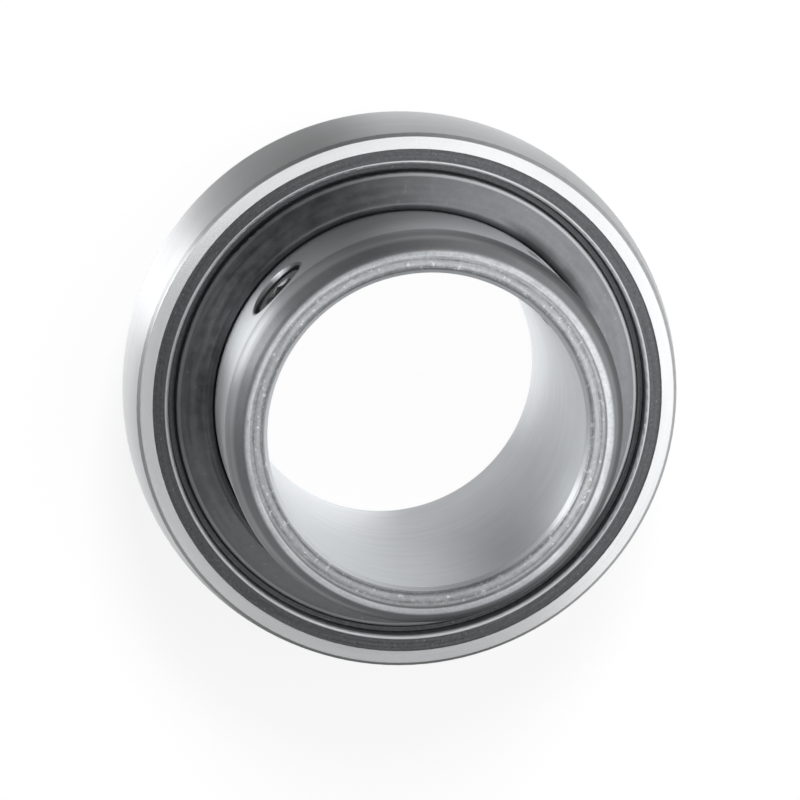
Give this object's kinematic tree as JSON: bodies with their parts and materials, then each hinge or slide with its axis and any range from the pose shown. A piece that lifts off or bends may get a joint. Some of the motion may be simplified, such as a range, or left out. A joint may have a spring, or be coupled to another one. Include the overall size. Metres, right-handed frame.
{
  "type": "insert bearing",
  "caption": "Sealed insert ball bearing with a spherical outside and a long inner ring locked by radial set screws.",
  "frame": {"origin": "centre of the spherical outside, on the bore axis and in the plane of the balls", "axes": "+Z along the bore axis towards the long end with the set screws, +X through set screw a and +Y through set screw b"},
  "size_m": [0.09, 0.09, 0.0516],
  "materials": {
    "outer_ring_steel": "ground bearing steel, satin",
    "inner_ring_steel": "ground bearing steel with a turned end face",
    "ball_steel": "polished",
    "cage_steel": "pressed strip, dull",
    "rivet_steel": "bright",
    "casing_steel": "pressed sheet, dark phosphate",
    "seal_rubber": "moulded, matt",
    "flinger_steel": "pressed sheet, satin",
    "screw_steel": "black oxide"
  },
  "bodies": {
    "outer_ring": {"outer_ring": "outer_ring_steel", "seal_casing_front": "casing_steel", "seal_lip_front": "seal_rubber", "seal_casing_rear": "casing_steel", "seal_lip_rear": "seal_rubber"},
    "inner_ring": {"inner_ring": "inner_ring_steel", "flinger_front": "flinger_steel", "flinger_rear": "flinger_steel"},
    "cage": {"cage_front": "cage_steel", "cage_rear": "cage_steel", "cage_rivets": "rivet_steel"},
    "ball_01": {"ball_01": "ball_steel"},
    "ball_02": {"ball_02": "ball_steel"},
    "ball_03": {"ball_03": "ball_steel"},
    "ball_04": {"ball_04": "ball_steel"},
    "ball_05": {"ball_05": "ball_steel"},
    "ball_06": {"ball_06": "ball_steel"},
    "ball_07": {"ball_07": "ball_steel"},
    "ball_08": {"ball_08": "ball_steel"},
    "ball_09": {"ball_09": "ball_steel"},
    "ball_10": {"ball_10": "ball_steel"},
    "set_screw_a": {"set_screw_a": "screw_steel"},
    "set_screw_b": {"set_screw_b": "screw_steel"}
  },
  "joints": [
    {"name": "inner_ring_turn", "type": "hinge", "parent": "outer_ring", "child": "inner_ring", "pos_m": [0, 0, 0], "axis": [0, 0, 1], "continuous": true},
    {"name": "cage_turn", "type": "hinge", "parent": "outer_ring", "child": "cage", "pos_m": [0, 0, 0], "axis": [0, 0, 1], "continuous": true},
    {"name": "ball_01_roll", "type": "hinge", "parent": "cage", "child": "ball_01", "pos_m": [0.03457, 0.00548, 0], "axis": [0, 0, 1], "continuous": true},
    {"name": "ball_02_roll", "type": "hinge", "parent": "cage", "child": "ball_02", "pos_m": [0.02475, 0.02475, 0], "axis": [0, 0, 1], "continuous": true},
    {"name": "ball_03_roll", "type": "hinge", "parent": "cage", "child": "ball_03", "pos_m": [0.00548, 0.03457, 0], "axis": [0, 0, 1], "continuous": true},
    {"name": "ball_04_roll", "type": "hinge", "parent": "cage", "child": "ball_04", "pos_m": [-0.01589, 0.03119, 0], "axis": [0, 0, 1], "continuous": true},
    {"name": "ball_05_roll", "type": "hinge", "parent": "cage", "child": "ball_05", "pos_m": [-0.03119, 0.01589, 0], "axis": [0, 0, 1], "continuous": true},
    {"name": "ball_06_roll", "type": "hinge", "parent": "cage", "child": "ball_06", "pos_m": [-0.03457, -0.00548, 0], "axis": [0, 0, 1], "continuous": true},
    {"name": "ball_07_roll", "type": "hinge", "parent": "cage", "child": "ball_07", "pos_m": [-0.02475, -0.02475, 0], "axis": [0, 0, 1], "continuous": true},
    {"name": "ball_08_roll", "type": "hinge", "parent": "cage", "child": "ball_08", "pos_m": [-0.00548, -0.03457, 0], "axis": [0, 0, 1], "continuous": true},
    {"name": "ball_09_roll", "type": "hinge", "parent": "cage", "child": "ball_09", "pos_m": [0.01589, -0.03119, 0], "axis": [0, 0, 1], "continuous": true},
    {"name": "ball_10_roll", "type": "hinge", "parent": "cage", "child": "ball_10", "pos_m": [0.03119, -0.01589, 0], "axis": [0, 0, 1], "continuous": true},
    {"name": "set_screw_a_travel", "type": "slide", "parent": "inner_ring", "child": "set_screw_a", "axis": [1, 0, 0], "range_m": [-0.001, 0.0045]},
    {"name": "set_screw_b_travel", "type": "slide", "parent": "inner_ring", "child": "set_screw_b", "axis": [0, 1, 0], "range_m": [-0.001, 0.0045]}
  ],
  "couplings": [
    {"joint": "cage_turn", "follows": "inner_ring_turn", "ratio": 0.40929},
    {"joint": "ball_01_roll", "follows": "inner_ring_turn", "ratio": -2.6652},
    {"joint": "ball_02_roll", "follows": "inner_ring_turn", "ratio": -2.6652},
    {"joint": "ball_03_roll", "follows": "inner_ring_turn", "ratio": -2.6652},
    {"joint": "ball_04_roll", "follows": "inner_ring_turn", "ratio": -2.6652},
    {"joint": "ball_05_roll", "follows": "inner_ring_turn", "ratio": -2.6652},
    {"joint": "ball_06_roll", "follows": "inner_ring_turn", "ratio": -2.6652},
    {"joint": "ball_07_roll", "follows": "inner_ring_turn", "ratio": -2.6652},
    {"joint": "ball_08_roll", "follows": "inner_ring_turn", "ratio": -2.6652},
    {"joint": "ball_09_roll", "follows": "inner_ring_turn", "ratio": -2.6652},
    {"joint": "ball_10_roll", "follows": "inner_ring_turn", "ratio": -2.6652}
  ]
}
